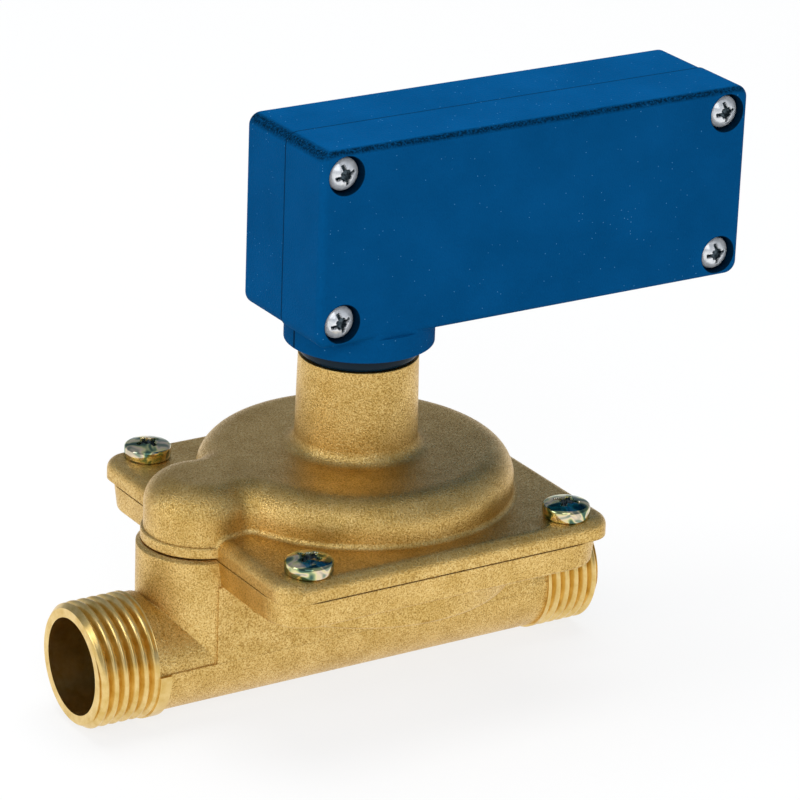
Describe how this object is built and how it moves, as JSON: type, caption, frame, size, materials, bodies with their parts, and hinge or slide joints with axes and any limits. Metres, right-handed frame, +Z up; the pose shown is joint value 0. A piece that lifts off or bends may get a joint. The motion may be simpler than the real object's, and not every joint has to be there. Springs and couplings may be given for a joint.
{
  "type": "flow switch",
  "caption": "Diaphragm flow switch: threaded brass pipe body and domed cover with a neck that carries a flat moulded switch housing.",
  "frame": {"origin": "on the pipe's axis, straight under the axis of the neck", "axes": "+X along the pipe towards the inlet thread, +Z up along the neck, -Y out of the housing's front"},
  "size_m": [0.1201, 0.0622, 0.0961],
  "materials": {
    "cast_brass": "shot blasted",
    "turned_brass": "turned",
    "blue_plastic": "fine grained",
    "zinc": "plated",
    "yellow_zinc": "chromated",
    "stainless": "turned",
    "black_rubber": "smooth",
    "switch_plastic": "moulded",
    "button_plastic": "moulded"
  },
  "bodies": {
    "frame": {"valve_body": "cast_brass", "cover": "cast_brass", "throat_insert": "turned_brass", "transfer_seal": "black_rubber", "cover_screws": "yellow_zinc", "diaphragm": "black_rubber", "return_spring": "stainless", "spindle_seal": "black_rubber", "guide_bush": "turned_brass", "neck_seal": "black_rubber", "housing_rear": "blue_plastic", "housing_front": "blue_plastic", "housing_screws": "zinc", "cable_bush": "black_rubber", "switch_case": "switch_plastic", "switch_screws": "zinc", "lever_pin": "stainless", "terminal_common": "turned_brass", "terminal_open": "turned_brass", "terminal_closed": "turned_brass"},
    "diaphragm_core": {"spindle": "stainless", "upper_plate": "turned_brass", "lower_plate": "turned_brass", "plate_nut": "turned_brass"},
    "lever": {"switch_lever": "stainless"},
    "button": {"switch_plunger": "button_plastic"}
  },
  "joints": [
    {"name": "spindle_lift", "type": "slide", "parent": "frame", "child": "diaphragm_core", "axis": [0, 0, 1], "range_m": [0, 0.0016], "stiffness_N_per_m": 300, "springref_m": -0.005, "deforming": ["diaphragm", "return_spring"]},
    {"name": "lever_swing", "type": "hinge", "parent": "frame", "child": "lever", "pos_m": [0.0145, 0, 0.06], "axis": [0, 1, 0], "range_deg": [0, 6.4]},
    {"name": "plunger_press", "type": "slide", "parent": "frame", "child": "button", "axis": [0, 0, 1], "range_m": [0, 0.0009]}
  ],
  "couplings": [
    {"joint": "lever_swing", "follows": "spindle_lift", "rad_per_m": 68.966},
    {"joint": "plunger_press", "follows": "spindle_lift", "ratio": 0.55172}
  ]
}
